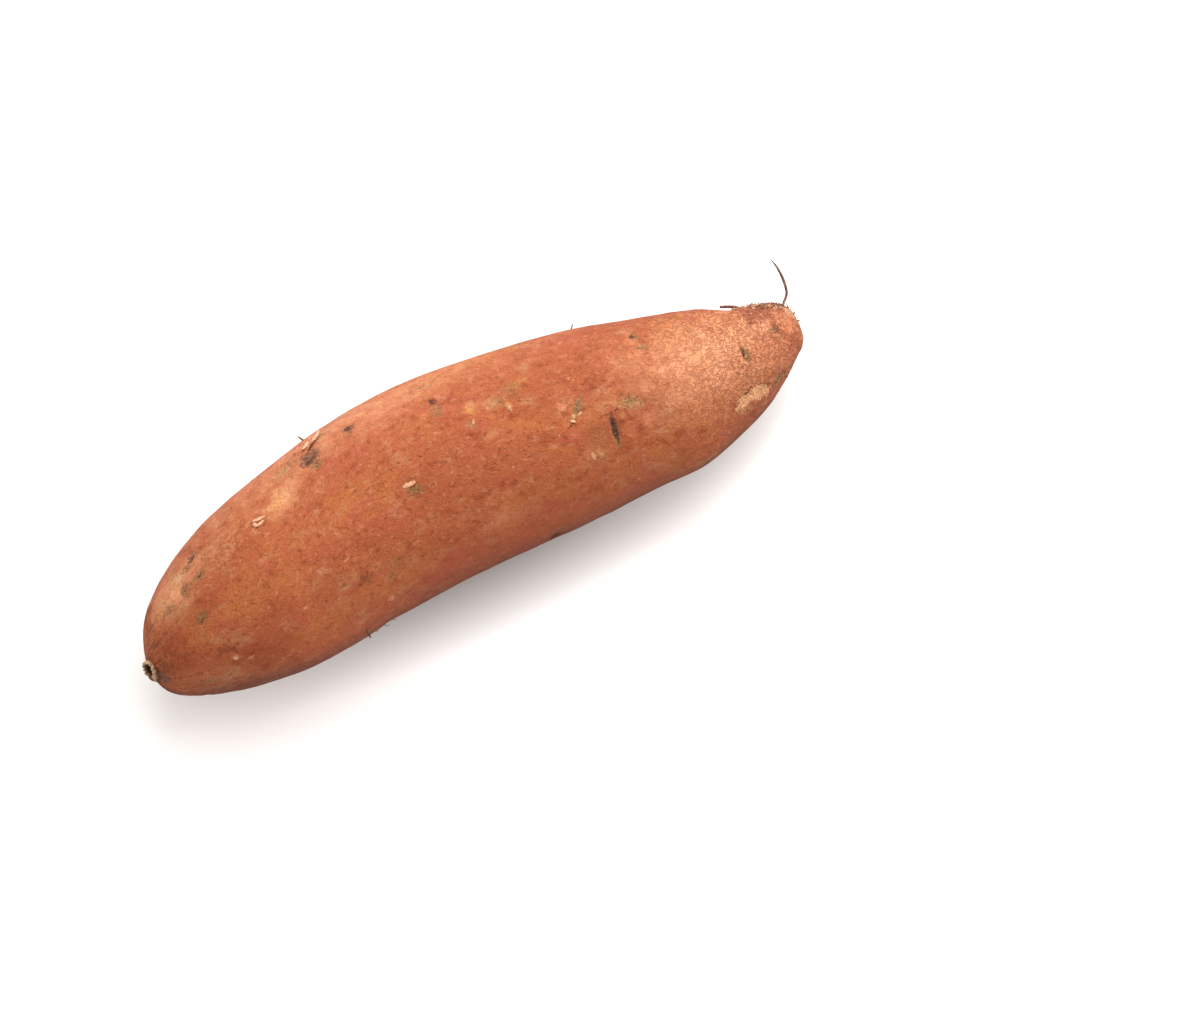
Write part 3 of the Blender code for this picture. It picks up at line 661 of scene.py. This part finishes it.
SHADE_BAND = 0.5 * MM  # the rim's foot darkens over this much
LOBES = ((0.06, 2, 0.9), (0.05, 5, 2.6))  # share of the radius, how many, and where they start
CORK_TAN = "#d6b088"
CORK_STREAK = "#8f6649"
CORK_CRUMB = "#6a4632"
CORK_FOOT = "#7a4836"
CORK_HOLE = "#35281a"
select_nothing()
bpy.ops.mesh.primitive_cylinder_add(vertices=32, radius=RING_OUTER, depth=RING_HEIGHT + RING_FOOT)
ring_piece = bpy.context.object
bpy.ops.object.mode_set(mode="EDIT")
bpy.ops.mesh.select_all(action="DESELECT")
bpy.ops.object.mode_set(mode="OBJECT")
for face in ring_piece.data.polygons:
    face.select = face.normal.z > 0.9
bpy.ops.object.mode_set(mode="EDIT")
bpy.ops.mesh.inset(thickness=RIM_SLOPE)
bpy.ops.transform.translate(value=(0, 0, RIM_RISE))
bpy.ops.mesh.inset(thickness=RIM_TOP)
bpy.ops.mesh.inset(thickness=RIM_EDGE)
bpy.ops.transform.translate(value=(0, 0, -RIM_DROP))
bpy.ops.mesh.extrude_region_move(TRANSFORM_OT_translate={"value": (0, 0, -PITH_DEPTH)})
face_outwards()
make_finer(ring_piece)
long_way = (RING_TORN - RING_LEANS * RING_TORN.dot(RING_LEANS)).normalized()
axes = Matrix((long_way, RING_LEANS.cross(long_way), RING_LEANS)).transposed().to_4x4()
stand = Matrix.Translation(RING_PLACE * MM) @ axes
top = (RING_HEIGHT + RING_FOOT) / 2
torn_at, hollow, low = [], [], []
for vertex in ring_piece.data.vertices:
    turn = math.atan2(vertex.co.y, vertex.co.x)
    out = math.hypot(vertex.co.x, vertex.co.y)
    share = min(1.0, max(0.0, (out - RING_HOLE) / (RING_OUTER - RING_HOLE)))
    down = max(0.0, math.cos(turn)) ** 2  # towards its torn side
    groove = math.exp(-(vertex.co.y / CRACK_WIDTH) ** 2) * min(1.0, down * 4 * share)
    torn_at += [3 * math.cos(turn), 3 * math.sin(turn), vertex.co.z / (4 * MM)]
    hollow.append(max(1 - min(1.0, max(0.0, (out - RING_HOLE) / (0.3 * MM))), 0.8 * groove))
    low.append(min(1.0, max(0.0, (top - SHADE_BAND - vertex.co.z) / SHADE_BAND)))
    crack = noise.noise(Vector((math.cos(turn) * 4, math.sin(turn) * 4, vertex.co.z * 250)))
    uneven = 1 + sum(size * math.sin(many * turn + first) for size, many, first in LOBES) + 0.14 * crack
    lump = noise.noise(vertex.co / (0.9 * MM))
    raised = max(0.0, vertex.co.z / top)
    vertex.co.x *= uneven * (1 + share * (0.12 + 0.70 * down))
    vertex.co.y *= uneven * (1 - 0.25 * share * down)
    vertex.co.z += (0.45 * lump + 0.65 * crack - (1.2 * groove + 1.2 * down * share) * raised) * MM
    vertex.co.z += RING_HEIGHT - top
    vertex.co = stand @ vertex.co
note(ring_piece, "torn_at", torn_at)
note(ring_piece, "hollow", hollow)
note(ring_piece, "low", low)

# Cork: dead cells dried to a dull tan crumb, streaked over the rim. Painted shade darkens the rim's foot
# and, with the dark pith, blackens the hole and the crack down its torn side
cork, tree, shader = new_material("healed_cork")
crumb = add(tree, "TexNoise", {
    "Vector": add(tree, "TexCoord", out="Object"), "Scale": 1.1 / MM, "Detail": 4.0, "Roughness": 0.7,
})
streak = add(tree, "TexNoise", {
    "Vector": add(tree, "Attribute", out="Vector", attribute_name="torn_at"),
    "Scale": 2.2, "Detail": 4.0, "Roughness": 0.7,
})
colour = add(tree, "Mix", {
    0: add(tree, "MapRange", {"Value": streak, "From Min": 0.44, "From Max": 0.62}),
    6: linear(CORK_TAN), 7: linear(CORK_STREAK),
}, data_type="RGBA")
colour = add(tree, "Mix", {
    0: add(tree, "MapRange", {"Value": crumb, "From Min": 0.52, "From Max": 0.74, "To Max": 0.5}),
    6: colour, 7: linear(CORK_CRUMB),
}, data_type="RGBA")
for name, shade in (("low", CORK_FOOT), ("hollow", CORK_HOLE)):
    share = add(tree, "Attribute", out="Fac", attribute_name=name)
    colour = add(tree, "Mix", {0: share, 6: colour, 7: linear(shade)}, data_type="RGBA")
bump = add(tree, "Bump", {"Strength": 0.8, "Distance": 0.3 * MM, "Height": crumb})
tree.links.new(colour, shader.inputs["Base Color"])
tree.links.new(bump, shader.inputs["Normal"])
shader.inputs["Roughness"].default_value = 0.85
ring_piece.data.shade_smooth()
finish_piece(ring_piece, "stem_scar", cork)

# The rootlets. Side roots dried to wire: brown bark over a woody thread, kinked, thinner to the
# tip, and broken off when the root was lifted. They grow from the tail, the crest and the eyes.
ROOT_START = Vector((-112.13, -7.507, 28.097))  # mm, where the solid's own rows are measured from
ROOTLETS = {
    "tail_rootlet": (
        ((217.4, 3.0, 0.6), (220.6, 7.9, 2.2), (222.8, 9.9, 2.8), (223.8, 12.5, 3.6),
         (224.2, 15.6, 4.4), (224.2, 18.3, 5.3), (223.5, 20.9, 6.4)),
        (0.60, 0.40, 0.44, 0.46, 0.42, 0.34, 0.15),
    ),
    "side_rootlet": (
        ((211.7, 7.5, -0.2), (209.3, 12.7, 0.6), (206.9, 14.8, 1.2), (203.1, 16.5, 2.0)),
        (0.60, 0.52, 0.50, 0.40),
    ),
    "crest_curl": (
        ((160.4, 25.0, 2.3), (160.2, 29.9, 2.7), (159.6, 31.4, 3.1), (160.7, 32.7, 3.5)),
        (0.45, 0.34, 0.28, 0.18),
    ),
    "eye_spur": (
        ((72.4, 29.5, 10.0), (71.4, 34.6, 11.4), (70.1, 37.0, 12.2)),
        (0.60, 0.42, 0.20),
    ),
    "belly_spur": (
        ((60.6, -20.0, 1.6), (61.2, -24.0, 2.0), (61.0, -25.8, 2.2)),
        (0.60, 0.42, 0.25),
    ),
    "tail_spur": (
        ((209.6, -5.4, -4.0), (210.6, -10.2, -4.4), (211.3, -11.4, -4.6)),
        (0.60, 0.50, 0.30),
    ),
}
KINK_SIZE = 1.2 * MM


def thread(points, radii, sides=10, knobbly=0.10, seed=0):
    """A tapering thread through points in mm, closed at its ends and made a mesh in its place."""
    data = bpy.data.curves.new("thread", "CURVE")
    data.dimensions = "3D"
    data.bevel_depth = MM
    data.bevel_resolution = (sides - 4) // 2
    data.use_fill_caps = True
    data.resolution_u = 6
    spline = data.splines.new("BEZIER")
    spline.bezier_points.add(len(points) - 1)
    for knot, point, size in zip(spline.bezier_points, points, radii):
        knot.co = Vector(point) * MM
        knot.radius = size
        knot.handle_left_type = knot.handle_right_type = "AUTO"
    piece = bpy.data.objects.new("thread", data)
    bpy.context.collection.objects.link(piece)
    select_nothing()
    piece.select_set(True)
    bpy.context.view_layer.objects.active = piece
    bpy.ops.object.convert(target="MESH")
    piece = bpy.context.object
    bpy.ops.object.mode_set(mode="EDIT")
    bpy.ops.mesh.select_all(action="SELECT")
    bpy.ops.mesh.remove_doubles(threshold=0.01 * MM)
    face_outwards()
    for vertex in piece.data.vertices:
        kink = Vector([noise.noise(vertex.co / KINK_SIZE + Vector((k * 7.1, seed, 0))) for k in range(3)])
        vertex.co += kink * knobbly * MM
    piece.data.shade_smooth()
    return piece


def mottled(name, per_mm, start, full, colours, roughness, detail=3.0, rough_grain=0.5, bump=None):
    """A material in two colours, with so many flecks in a mm, and their bump: strength, depth in mm.

    The flecks of real bark, cork and soil are finer, and are drawn as coarse as they need to show.
    """
    material, tree, shader = new_material(name)
    fleck = add(tree, "TexNoise", {
        "Vector": add(tree, "TexCoord", out="Object"),
        "Scale": per_mm / MM, "Detail": detail, "Roughness": rough_grain,
    })
    share = add(tree, "MapRange", {"Value": fleck, "From Min": start, "From Max": full})
    first, second = colours
    colour = add(tree, "Mix", {0: share, 6: linear(first), 7: linear(second)}, data_type="RGBA")
    tree.links.new(colour, shader.inputs["Base Color"])
    if bump:
        strength, depth = bump
        bumped = add(tree, "Bump", {"Strength": strength, "Distance": depth * MM, "Height": fleck})
        tree.links.new(bumped, shader.inputs["Normal"])
    shader.inputs["Roughness"].default_value = roughness
    return material


# Rootlet bark: thin dead skin, grey brown, streaked along, with paler wood at torn tips
bark = mottled(
    "dry_rootlet_bark", 1.4, 0.40, 0.64, ("#54372b", "#9a6a4e"), 0.8, rough_grain=0.7, bump=(0.7, 0.1)
)
for seed, (name, (points, radii)) in enumerate(ROOTLETS.items()):
    placed = [Vector(point) + ROOT_START for point in points]
    finish_piece(thread(placed, radii, seed=seed), name, bark)

# Torn skin. Where the root was rubbed in the ground or the box, small flakes of periderm have
# lifted: thin as paper, cream inside, curled up at their free end.
FLAKES = (  # along, degrees, length and width in mm, turn, how far it curls in degrees
    (-22.1, -16, 4.0, 1.4, -6, 9),
    (-64.6, 21.6, 3.8, 1.2, 177, 16),
    (-65.0, 18.2, 2.9, 1.1, 200, 16),
    (-66.3, 19.5, 1.6, 1.4, 100, 20),
    (-38.0, 52, 4.8, 1.7, 39, 12),
    (-42.2, 48, 5.0, 1.6, 239, 12),
    (29.3, -17.5, 1.2, 1.7, -112, 35),
    (14.9, 4, 1.2, 0.9, 40, 30),
    (3.2, 3, 1.4, 1.0, 60, 25),
    (100.4, 48, 2.8, 1.4, 10, 45),
    (97.2, 50, 2.2, 1.2, 30, 60),
    (103.6, 40, 2.2, 1.0, -10, 50),
    (-88.6, -52, 1.4, 1.0, 0, 30),
    (52.0, -120, 2.8, 1.2, 30, 60),
    (-58.0, 116, 3.2, 1.2, 70, 65),
    (20.0, 150, 2.6, 1.0, 20, 45),
    (-20.0, -140, 3.0, 1.1, 10, 50),
)
FLAKE_THICK = 0.12 * MM
FLAKE_LIFT = 0.05  # mm off the skin at its fixed end
FLAKE_CUP = 0.12  # of its width
# Torn periderm: the cork's clean inner side, dry and papery, cream with tan flecks
paper = mottled("torn_periderm", 1.1, 0.44, 0.66, ("#e9b18b", "#c67f5a"), 0.6, bump=(0.5, 0.08))


def gather(pieces):
    """Joins like pieces into one object and returns it."""
    select_nothing()
    for piece in pieces:
        piece.select_set(True)
    bpy.context.view_layer.objects.active = pieces[0]
    bpy.ops.object.join()
    return bpy.context.object


for number, (along, degrees, length, width, turn, curl) in enumerate(FLAKES):
    select_nothing()
    bpy.ops.mesh.primitive_grid_add(x_subdivisions=9, y_subdivisions=5, size=1)
    flake = bpy.context.object
    stand = on_skin(along, degrees, turn)
    bend = math.radians(curl)
    for vertex in flake.data.vertices:
        t = vertex.co.x + 0.5
        ragged = noise.noise(Vector((t * 5, vertex.co.y * 4, number * 3.7)))
        taper = (0.55 + 0.9 * t - 1.1 * t ** 3) * (1 + 0.6 * ragged)
        cup = FLAKE_CUP * width * (1 - (2 * vertex.co.y) ** 2) * t
        rise = length * (1 - math.cos(bend * t)) / bend
        vertex.co = Vector((
            length * math.sin(bend * t) / bend + 0.3 * ragged - length / 2,
            width * (vertex.co.y + 0.25 * ragged) * taper,
            FLAKE_LIFT + rise + cup + 0.15 * ragged * t,
        )) * MM
    flake.data.transform(stand)
    leaf = flake.modifiers.new("leaf", "SOLIDIFY")
    leaf.thickness = FLAKE_THICK
    leaf.offset = 0
    bpy.context.view_layer.objects.active = flake
    bpy.ops.object.modifier_apply(modifier=leaf.name)
    flake.data.shade_smooth()
    finish_piece(flake, f"torn_flake_{number + 1:02d}", paper)

# Soil. Crumbs of dried earth are still caught in the eyes, the slit, the cracks and the stem
# scar, a fraction of a millimetre to one millimetre across.
CRUMB_NESTS = (  # along, degrees, spread along and across in mm, turn, how many, largest in mm
    ("eye", -43.4, 36, 3.2, 3.3, 0, 62, 0.62),
    ("eye_rim", -42.5, 26, 1.6, 1.6, 0, 16, 0.40),
    ("small_eye", -29.0, 39, 1.7, 1.0, 20, 22, 0.42),
    ("crack", -4.3, 28, 1.6, 1.8, 0, 22, 0.36),
    ("slit", 39.4, -32, 4.8, 0.45, 82, 50, 0.46),
    ("healed_crack", 32.6, -10, 3.2, 0.7, 42, 16, 0.34),
    ("tail_scar", 86.6, -19, 3.0, 0.5, 100, 22, 0.36),
    ("stem_side", -86.6, 37, 2.2, 0.9, 15, 18, 0.36),
    ("olive_spot", 58.8, 31, 1.0, 0.8, 40, 10, 0.36),
    ("split", -39.6, 46.5, 3.2, 0.35, 35, 18, 0.40),
    ("graze_side", 83.4, -51.5, 2.8, 0.3, 12, 16, 0.38),
    ("graze_top", 90.2, -63, 2.2, 0.3, -35, 10, 0.34),
    ("hidden_eye_1", -45.5, -108, 1.8, 1.6, 0, 26, 0.5),
    ("hidden_eye_2", 12.2, -96, 1.8, 1.4, 0, 22, 0.5),
    ("hidden_eye_3", 52.2, -118, 1.6, 1.6, 0, 22, 0.5),
    ("hidden_eye_4", -58.9, 112, 2.0, 1.4, 0, 26, 0.5),
    ("hidden_eye_5", 25.5, 104, 1.6, 1.8, 0, 22, 0.5),
)
soil_draw = random.Random(23)
CRUMB_SPREAD = 0.45  # most crumbs lie within this share of the nest
CRUMB_DROP = 4 * MM  # each is dropped from this high
CRUMB_OUT = 0.15  # of its size, how far its middle stands off the skin
# Dried soil: fine earth, matt and dusty, dark brown with paler grains
soil = mottled("dried_soil", 1.5, 0.40, 0.62, ("#4a2c22", "#8c6650"), 0.95, detail=2.0)
select_nothing()
bpy.ops.mesh.primitive_ico_sphere_add(subdivisions=1, radius=0.5)
crumb_shape = bpy.context.object.data
bpy.data.objects.remove(bpy.context.object)


def scatter(shape, placings):
    """Copies the shape's mesh to each placing and joins the copies."""
    copies = []
    for stand in placings:
        mesh = shape.copy()
        mesh.transform(stand)
        copy = bpy.data.objects.new("copy", mesh)
        bpy.context.collection.objects.link(copy)
        copies.append(copy)
    return gather(copies)


for name, along, degrees, spread, wide, turn, many, largest in CRUMB_NESTS:
    placings = []
    nest = on_skin(along, degrees, turn)
    for _ in range(many):
        ahead = soil_draw.gauss(0, CRUMB_SPREAD) * spread
        beside = soil_draw.gauss(0, CRUMB_SPREAD) * wide
        above = nest @ Vector((ahead * MM, beside * MM, CRUMB_DROP))
        down = -(nest.to_3x3() @ Vector((0, 0, 1)))
        point, normal, _, _ = skin_tree.ray_cast(above, down)
        if point is None:
            continue
        size = largest * soil_draw.uniform(0.35, 1.0) * MM
        spin = Matrix.Rotation(soil_draw.uniform(0, math.tau), 4, "Z")
        tip = Matrix.Rotation(soil_draw.uniform(0, math.tau), 4, "X")
        shape = Matrix.Diagonal((size, size * soil_draw.uniform(0.6, 1), size * 0.7, 1))
        lean = Matrix.Translation(point + normal * size * CRUMB_OUT)
        placings.append(lean @ normal.to_track_quat("Z", "Y").to_matrix().to_4x4() @ spin @ tip @ shape)
    finish_piece(scatter(crumb_shape, placings), f"soil_{name}", soil)

# The crust of the tail. The end that tapered into the tap root keeps the stumps of its feeding
# roots, dark hooked bristles a millimetre long, in a rim of split bark.
BRISTLES = 120
BRISTLE_BOW = 0.45
BRISTLE_TALL = (0.3, 0.9)  # mm
BRISTLE_THICK = (1.0, 2.0)  # mm, about three times the width of its foot
BRISTLE_SUNK = 0.15 * MM
STUMPS = ((106.6, 52), (108.6, 44), (109.6, 34), (110.2, 14), (110.2, -12))  # the thickest
STUMP_SIZE = (3.0 * MM, 2.2 * MM, 1.1 * MM)
STUMP_SUNK = 0.2 * MM
bristle_draw = random.Random(31)
select_nothing()
bpy.ops.mesh.primitive_cone_add(vertices=5, radius1=0.17, radius2=0.03, depth=1, location=(0, 0, 0.5))
bristle = bpy.context.object
bpy.ops.object.transform_apply(location=True)
bpy.ops.object.mode_set(mode="EDIT")
for cut in (0.33, 0.66):
    bpy.ops.mesh.select_all(action="SELECT")
    bpy.ops.mesh.bisect(plane_co=(0, 0, cut), plane_no=(0, 0, 1))
bpy.ops.object.mode_set(mode="OBJECT")
for vertex in bristle.data.vertices:
    vertex.co.x += BRISTLE_BOW * vertex.co.z ** 2
bristle_shape = bristle.data
bpy.data.objects.remove(bristle)
placings = [
    on_skin(along, degrees, 60 * n) @ Matrix.Translation((0, 0, -STUMP_SUNK))
    @ Matrix.Diagonal((*STUMP_SIZE, 1))
    for n, (along, degrees) in enumerate(STUMPS)
]
for _ in range(BRISTLES):
    along = bristle_draw.triangular(93, 109.6, 107)
    degrees = bristle_draw.gauss(66, 16) if along < 104 else bristle_draw.gauss(48, 18)
    stand = on_skin(along, degrees, bristle_draw.uniform(-180, 180))
    tall = bristle_draw.uniform(*BRISTLE_TALL) * MM
    thick = bristle_draw.uniform(*BRISTLE_THICK) * MM
    lean = Matrix.Rotation(bristle_draw.uniform(-0.5, 0.9), 4, "Y")
    sunk = Matrix.Translation((0, 0, -BRISTLE_SUNK))
    placings.append(stand @ sunk @ lean @ Matrix.Diagonal((thick, thick, tall, 1)))
finish_piece(scatter(bristle_shape, placings), "tail_bristles", bark)

# The scales on the same rim. Where its bark split as the root swelled, thin scales of old periderm
# still hang on, lifted at one edge.
SCALES = 120
SCALE_WIDE = (0.6, 1.7)  # mm
SCALE_LEAN = (0.0, 0.5)  # radians
SCALE_RIM = 0.12  # of its width, how thick it is and how far its worn middle stands in
SCALE_TALL = 0.6 * MM
select_nothing()
bpy.ops.mesh.primitive_circle_add(vertices=7, radius=0.5, fill_type="NGON")
scale_piece = bpy.context.object
bpy.ops.object.mode_set(mode="EDIT")
bpy.ops.mesh.select_all(action="SELECT")
bpy.ops.mesh.extrude_region_move(TRANSFORM_OT_translate={"value": (0, 0, SCALE_RIM)})
bpy.ops.mesh.inset(thickness=SCALE_RIM)
bpy.ops.transform.translate(value=(0, 0, SCALE_RIM / 2))
face_outwards()
scale_shape = scale_piece.data
bpy.data.objects.remove(scale_piece)
scale_draw = random.Random(43)
placings = []
for _ in range(SCALES):
    along = scale_draw.uniform(92, 107.5)
    degrees = scale_draw.gauss(60, 18)
    stand = on_skin(along, degrees, scale_draw.uniform(-90, 90))
    size = scale_draw.uniform(*SCALE_WIDE) * MM
    lean = Matrix.Rotation(scale_draw.uniform(*SCALE_LEAN), 4, "Y")
    shape = Matrix.Diagonal((size, size * scale_draw.uniform(0.4, 0.9), SCALE_TALL, 1))
    placings.append(stand @ lean @ shape)
# Split bark: old cork weathered dull, in reddish brown and tan patches
rind = mottled("split_bark", 0.7, 0.42, 0.60, ("#97563c", "#d2a07c"), 0.75)
finish_piece(scatter(scale_shape, placings), "tail_scales", rind)

# Root hairs and stem fibres. Fine dry threads are left where feeding roots rubbed away: round
# the eyes, along the crest and the tail, and in a short beard below the stem scar.
HAIR_NESTS = (  # along, degrees, spread in mm, how many, longest in mm
    ("eye", -40.5, 50, 4.0, 9, 3.2),
    ("crest", 47.0, 78, 5.0, 3, 2.4),
    ("tail", 103.0, 40, 5.0, 16, 3.0),
    ("tail_under", 98.0, -70, 5.0, 6, 2.2),
    ("stem", -108.0, -30, 3.0, 12, 2.6),
    ("hidden_1", -45.5, -108, 3.5, 6, 2.6),
    ("hidden_4", -58.9, 112, 3.5, 6, 3.0),
    ("hidden_5", 25.5, 104, 3.5, 5, 2.6),
)
HAIR_RADII = (0.12, 0.10, 0.08, 0.04)  # mm, from the skin to the tip
HAIR_STEPS = (0, 0.33, 0.66, 1)
HAIR_SUNK = 0.3  # mm
END_GAP = 1.5  # mm, how far from either end of the root a hair stays
hair_draw = random.Random(59)
for number, (name, along, degrees, spread, many, longest) in enumerate(HAIR_NESTS):
    hairs = []
    for _ in range(many):
        x = max(min(along + hair_draw.gauss(0, 0.5) * spread, tail_x - END_GAP), stem_x + END_GAP)
        at = degrees + hair_draw.gauss(0, 0.5) * spread * 2.2
        stand = on_skin(x, at, hair_draw.uniform(-180, 180))
        long = longest * hair_draw.uniform(0.4, 1.0)
        bow = hair_draw.uniform(0.2, 0.9)
        points = []
        for t in HAIR_STEPS:
            rise = long * (t - 0.55 * t * t) * 0.8 - HAIR_SUNK
            bent = Vector((bow * long * t ** 1.6, 0.2 * long * math.sin(4 * t), rise))
            points.append(stand @ (bent * MM) / MM)
        hairs.append(thread(points, HAIR_RADII, sides=4, knobbly=0.05, seed=number))
    finish_piece(gather(hairs), f"root_hairs_{name}", bark)

# The floor: a plain sheet of white acrylic, faintly glossy. It has a painted glow: it gives off light
# of its own, which pales the root's soft shadow, and none where the root covers it.
FLOOR_SIDE = 6.0
GLOW_OVAL = (0.135, 0.042)  # m along and across, outside which the glow is full
GLOW_INNER = 0.30  # the share of the oval, at its middle, that gives none
GLOW_FULL = 0.62  # of white
select_nothing()
bpy.ops.mesh.primitive_plane_add(size=FLOOR_SIDE)
floor = bpy.context.object
floor.name = "floor"
board, tree, shader = new_material("floor_with_painted_glow")
shader.inputs["Base Color"].default_value = linear("#bcbbba")
shader.inputs["Roughness"].default_value = 0.25
shader.inputs["Emission Color"].default_value = linear("#fff8f5")
covered = add(tree, "Mapping", {
    "Vector": add(tree, "TexCoord", out="Object"), "Scale": (1 / GLOW_OVAL[0], 1 / GLOW_OVAL[1], 1),
})
covered = add(tree, "VectorMath", {0: covered}, operation="LENGTH", out="Value")
glow = add(tree, "MapRange", {
    "Value": covered, "From Min": GLOW_INNER, "From Max": 1.0, "To Max": GLOW_FULL,
})
tree.links.new(glow, shader.inputs["Emission Strength"])
floor.data.materials.append(board)

# The light: a broad soft lamp over the far side of the root, and a pale room, brighter on the
# lamp's side and dimmer on the near side, that shows plain white behind the floor.
LIGHT_FROM = Vector((0.536, 0.378, 0.755)).normalized()
LIGHT_STRENGTH = 3.0
LIGHT_WIDE = math.radians(55)
ROOM_BRIGHT_SIDE = (0.60, 0.35, 0.72)
ROOM_DIM = (0.16, 0.115, 0.09, 1)  # linear
ROOM_BRIGHT = (0.92, 0.92, 0.92, 1)
lamp = bpy.data.lights.new("window", "SUN")
lamp.energy = LIGHT_STRENGTH
lamp.angle = LIGHT_WIDE
lamp.color = (0.98, 1.0, 0.97)
lamp_object = bpy.data.objects.new("window", lamp)
bpy.context.scene.collection.objects.link(lamp_object)
lamp_object.rotation_euler = LIGHT_FROM.to_track_quat("Z", "Y").to_euler()
room = bpy.data.worlds.new("pale_room")
room.use_nodes = True
tree = room.node_tree
background = tree.nodes["Background"]
ahead = add(tree, "TexCoord", out="Generated")
side = add(tree, "VectorMath", {0: ahead, 1: ROOM_BRIGHT_SIDE}, operation="DOT_PRODUCT", out="Value")
glow = add(tree, "MapRange", {"Value": side, "From Min": -0.8, "From Max": 0.95})
warm = add(tree, "Mix", {0: glow, 6: ROOM_DIM, 7: ROOM_BRIGHT}, data_type="RGBA")
seen = add(tree, "LightPath", out="Is Camera Ray")
warm = add(tree, "Mix", {0: seen, 6: warm, 7: (1, 1, 1, 1)}, data_type="RGBA")
tree.links.new(warm, background.inputs["Color"])
bpy.context.scene.world = room
bpy.context.scene.view_settings.view_transform = "Standard"

# The camera: the photograph's view, from above and a little to the stem end's side.
AIM = Vector((28.08, -28.97, 23.73)) * MM
DISTANCE = 850 * MM
AZIMUTH = math.radians(-29)
ELEVATION = math.radians(70)
LENS = 85  # mm, on film 36 mm wide
FILM = 36
back = Vector((
    math.sin(AZIMUTH) * math.cos(ELEVATION),
    -math.cos(AZIMUTH) * math.cos(ELEVATION),
    math.sin(ELEVATION),
))
camera_data = bpy.data.cameras.new("camera")
camera_data.lens = LENS
camera_data.sensor_width = FILM
camera = bpy.data.objects.new("camera", camera_data)
bpy.context.scene.collection.objects.link(camera)
camera.location = AIM + back * DISTANCE
camera.rotation_euler = back.to_track_quat("Z", "Y").to_euler()
bpy.context.scene.camera = camera
